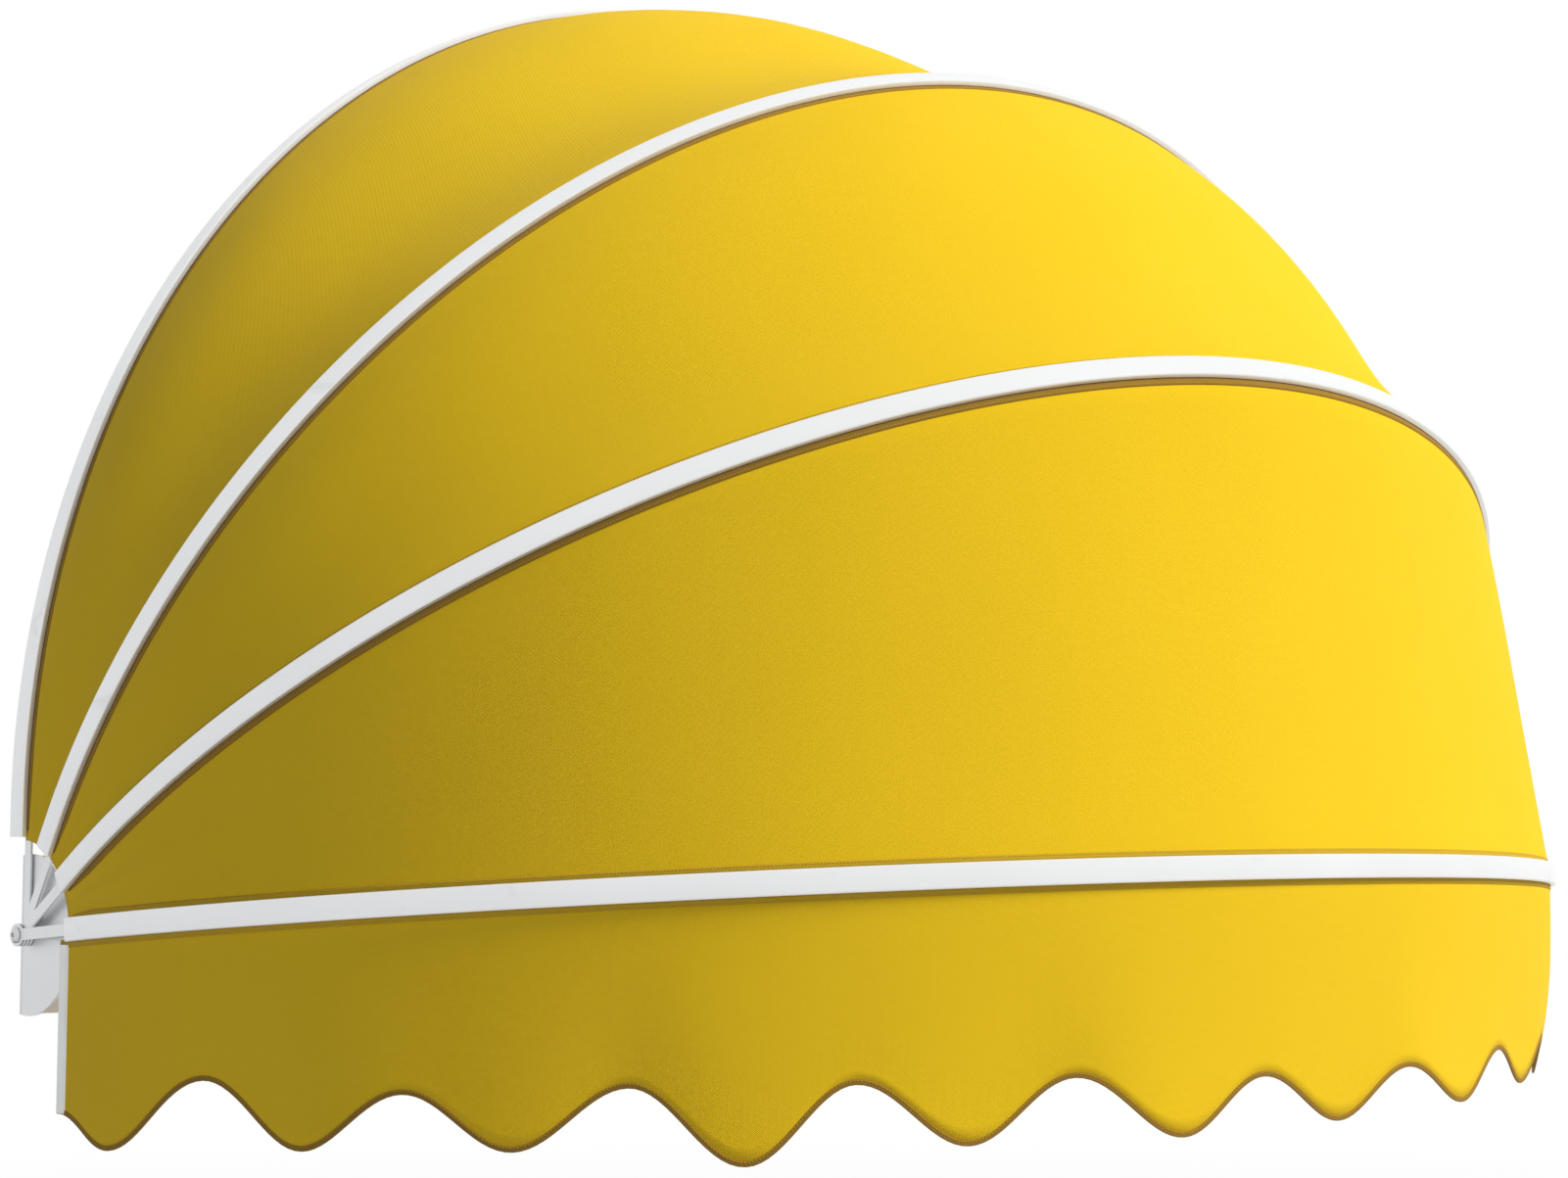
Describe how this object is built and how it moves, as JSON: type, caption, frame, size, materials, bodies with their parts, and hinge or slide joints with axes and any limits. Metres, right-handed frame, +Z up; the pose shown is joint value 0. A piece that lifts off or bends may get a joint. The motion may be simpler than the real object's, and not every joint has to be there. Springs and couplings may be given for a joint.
{
  "type": "dome awning",
  "caption": "Folding dome awning: white half-round hoops on common side hinges carry yellow cloth panels and a scalloped valance, ready to fix to a wall above a window.",
  "frame": {"origin": "on the wall plane behind the crown of the rear bow, at the back face of the top wall clip", "axes": "+Z up, +Y into the wall, +X to the right for someone facing the wall; the hood stands out towards -Y"},
  "size_m": [2.002, 1.059, 1.3883],
  "materials": {
    "bow_coating": "white powder coat on extruded aluminium",
    "bracket_coating": "white powder coat",
    "link_steel": "white coated steel bar",
    "fastener": "zinc plated",
    "washer": "nylon",
    "awning_cloth": "woven acrylic awning cloth, golden yellow",
    "binding_tape": "woven white edge tape"
  },
  "bodies": {
    "wall_frame": {"rear_bow": "bow_coating", "rear_link_left": "link_steel", "rear_link_screw_left": "fastener", "hinge_washer_1_left": "washer", "hinge_washer_2_left": "washer", "hinge_washer_3_left": "washer", "hinge_washer_4_left": "washer", "wall_bracket_left": "bracket_coating", "pivot_bolt_left": "fastener", "pivot_nut_left": "fastener", "rear_link_right": "link_steel", "rear_link_screw_right": "fastener", "hinge_washer_1_right": "washer", "hinge_washer_2_right": "washer", "hinge_washer_3_right": "washer", "hinge_washer_4_right": "washer", "wall_bracket_right": "bracket_coating", "pivot_bolt_right": "fastener", "pivot_nut_right": "fastener", "wall_clip_left": "bracket_coating", "clip_screw_left": "fastener", "wall_clip_top": "bracket_coating", "clip_screw_top": "fastener", "wall_clip_right": "bracket_coating", "clip_screw_right": "fastener", "rear_cloth": "awning_cloth"},
    "upper_hoop": {"upper_bow": "bow_coating", "upper_link_left": "link_steel", "upper_link_screw_left": "fastener", "upper_link_right": "link_steel", "upper_link_screw_right": "fastener", "middle_cloth": "awning_cloth"},
    "middle_hoop": {"middle_bow": "bow_coating", "middle_link_left": "link_steel", "middle_link_screw_left": "fastener", "middle_link_right": "link_steel", "middle_link_screw_right": "fastener", "front_cloth": "awning_cloth"},
    "front_hoop": {"front_bow": "bow_coating", "front_link_left": "link_steel", "front_link_screw_left": "fastener", "valance_binding_left": "binding_tape", "front_link_right": "link_steel", "front_link_screw_right": "fastener", "valance_binding_right": "binding_tape", "valance": "awning_cloth"}
  },
  "joints": [
    {"name": "upper_bow_hinge", "type": "hinge", "parent": "wall_frame", "child": "upper_hoop", "pos_m": [0, -0.0158, -1.167], "axis": [-1, 0, 0], "range_deg": [0, 15.5], "deforming": ["rear_cloth"]},
    {"name": "middle_bow_hinge", "type": "hinge", "parent": "upper_hoop", "child": "middle_hoop", "pos_m": [0, -0.0158, -1.167], "axis": [-1, 0, 0], "range_deg": [0, 11], "deforming": ["middle_cloth"]},
    {"name": "front_bow_hinge", "type": "hinge", "parent": "middle_hoop", "child": "front_hoop", "pos_m": [0, -0.0158, -1.167], "axis": [-1, 0, 0], "range_deg": [0, 13], "deforming": ["front_cloth"]}
  ],
  "couplings": [
    {"joint": "middle_bow_hinge", "follows": "upper_bow_hinge", "ratio": 0.7097},
    {"joint": "front_bow_hinge", "follows": "upper_bow_hinge", "ratio": 0.8387}
  ]
}
